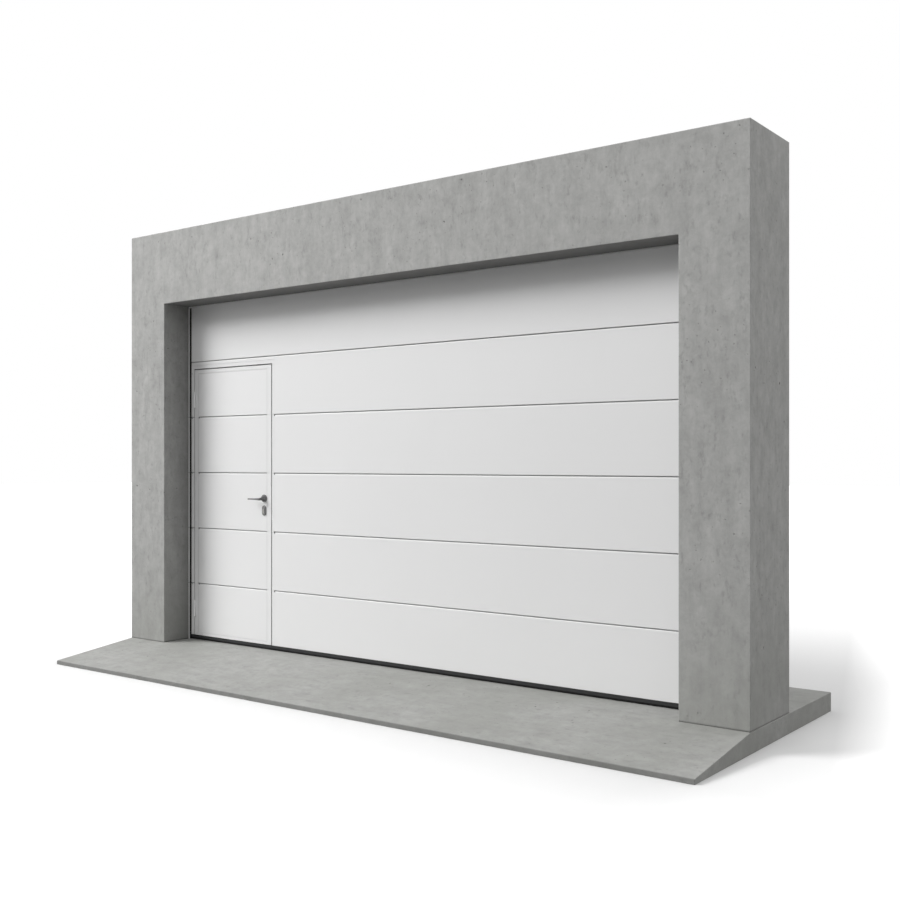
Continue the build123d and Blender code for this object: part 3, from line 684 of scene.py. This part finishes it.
def beyond(finish, value, start):
    """How far a value is past its start, or 0."""
    return finish.math("MAXIMUM", finish.math("SUBTRACT", value, start), 0.0)


def seen_directly(finish):
    """1 for the camera and for mirror images, 0 for light that is thrown back."""
    ray = finish.node("ShaderNodeLightPath").outputs
    direct = finish.math("MAXIMUM", ray["Is Camera Ray"], ray["Is Glossy Ray"])
    return finish.math("MAXIMUM", direct, ray["Is Transmission Ray"])


def floor():
    """A pale floor that takes the object's shadow; a glow seen by the camera only, painted light that grows
    away from the object, fades it to white.
    """
    mesh = bpy.data.meshes.new("floor")
    size = FLOOR_SIZE
    corners = [(-size, -size, 0), (size, -size, 0), (size, size, 0), (-size, size, 0)]
    mesh.from_pydata(corners, [], [(0, 1, 2, 3)])
    thing = bpy.data.objects.new("floor", mesh)
    linked(thing)
    finish = Finish("floor", FLOOR_SEEN, 0.9, specular=0.1)
    seen = seen_directly(finish)
    finish.set("Base Color", finish.mix(seen, FLOOR_BOUNCE, FLOOR_SEEN))
    along, depth, _ = finish.axes(finish.place())
    slab_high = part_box("ramp_slab")[1]
    leaning = finish.math("ADD", along, finish.math("MULTIPLY", depth, SHADOW_LEAN))
    past_shadow = beyond(finish, leaning, SHADOW_END)
    past_ends = beyond(finish, finish.math("ABSOLUTE", along), slab_high[0])
    past_front = beyond(finish, finish.math("MULTIPLY", depth, -1.0), slab_high[1])
    past_rear = beyond(finish, depth, slab_high[1])
    fade = finish.total([
        (past_shadow, SHADOW_FADE),
        (past_ends, FRONT_FADE),
        (past_front, FRONT_FADE),
        (past_rear, REAR_FADE),
    ])
    # Painted light: the glow grows with the distance from the shadow's edge and from the slab
    strength = finish.math("MULTIPLY", seen, finish.math("MINIMUM", fade, 1.0))
    glow = finish.node("ShaderNodeEmission", Color=(1, 1, 1), Strength=strength)
    both = finish.node("ShaderNodeAddShader")
    finish.put(finish.shader.outputs[0], both.inputs[0])
    finish.put(glow.outputs[0], both.inputs[1])
    finish.put(both.outputs[0], finish.tree.nodes["Material Output"].inputs["Surface"])
    mesh.materials.append(finish.material)


def sky():
    """An even soft sky that the camera and mirror images see as white."""
    world = bpy.data.worlds.new("studio")
    world.use_nodes = True
    bpy.context.scene.world = world
    tree = world.node_tree
    light = tree.nodes["Background"]
    light.inputs["Color"].default_value = (1, 1, 1, 1)
    light.inputs["Strength"].default_value = SKY_STRENGTH
    white = tree.nodes.new("ShaderNodeBackground")
    white.inputs["Color"].default_value = (1, 1, 1, 1)
    white.inputs["Strength"].default_value = 1.0
    ray = tree.nodes.new("ShaderNodeLightPath").outputs
    seen = ray["Is Camera Ray"]
    for kind in ("Is Glossy Ray", "Is Transmission Ray"):
        either = tree.nodes.new("ShaderNodeMath")
        either.operation = "MAXIMUM"
        tree.links.new(seen, either.inputs[0])
        tree.links.new(ray[kind], either.inputs[1])
        seen = either.outputs[0]
    mixed = tree.nodes.new("ShaderNodeMixShader")
    tree.links.new(seen, mixed.inputs[0])
    tree.links.new(light.outputs[0], mixed.inputs[1])
    tree.links.new(white.outputs[0], mixed.inputs[2])
    tree.links.new(mixed.outputs[0], tree.nodes["World Output"].inputs[0])


def lamps():
    """The soft lamps of the studio."""
    for name, (place, width, power) in LAMPS.items():
        data = bpy.data.lights.new(name, "AREA")
        data.shape = "DISK"
        data.size = width
        data.energy = power
        thing = bpy.data.objects.new(name, data)
        thing.location = place
        thing.rotation_mode = "QUATERNION"
        thing.rotation_quaternion = (LAMP_AIM - thing.location).to_track_quat("-Z", "Y")
        linked(thing)


def camera():
    """The photograph's camera."""
    data = bpy.data.cameras.new("camera")
    data.sensor_width = SENSOR_WIDTH
    data.lens = FOCAL_LENGTH
    data.shift_y = CAMERA_SHIFT
    data.clip_end = CAMERA_REACH
    thing = bpy.data.objects.new("camera", data)
    thing.location = CAMERA_PLACE
    thing.rotation_euler = (math.radians(90), 0, CAMERA_TURN)
    linked(thing)
    bpy.context.scene.camera = thing


def main():
    bpy.context.scene.view_settings.view_transform = "Standard"
    materials = finishes()
    dress_nodes(materials)
    casting(materials["concrete"])
    slab(materials["slab_concrete"])
    rear_screws(materials["galvanised"])
    anchors(materials["galvanised"])
    lock_details(materials)
    cylinder_details(materials)
    floor()
    sky()
    lamps()
    camera()


main()
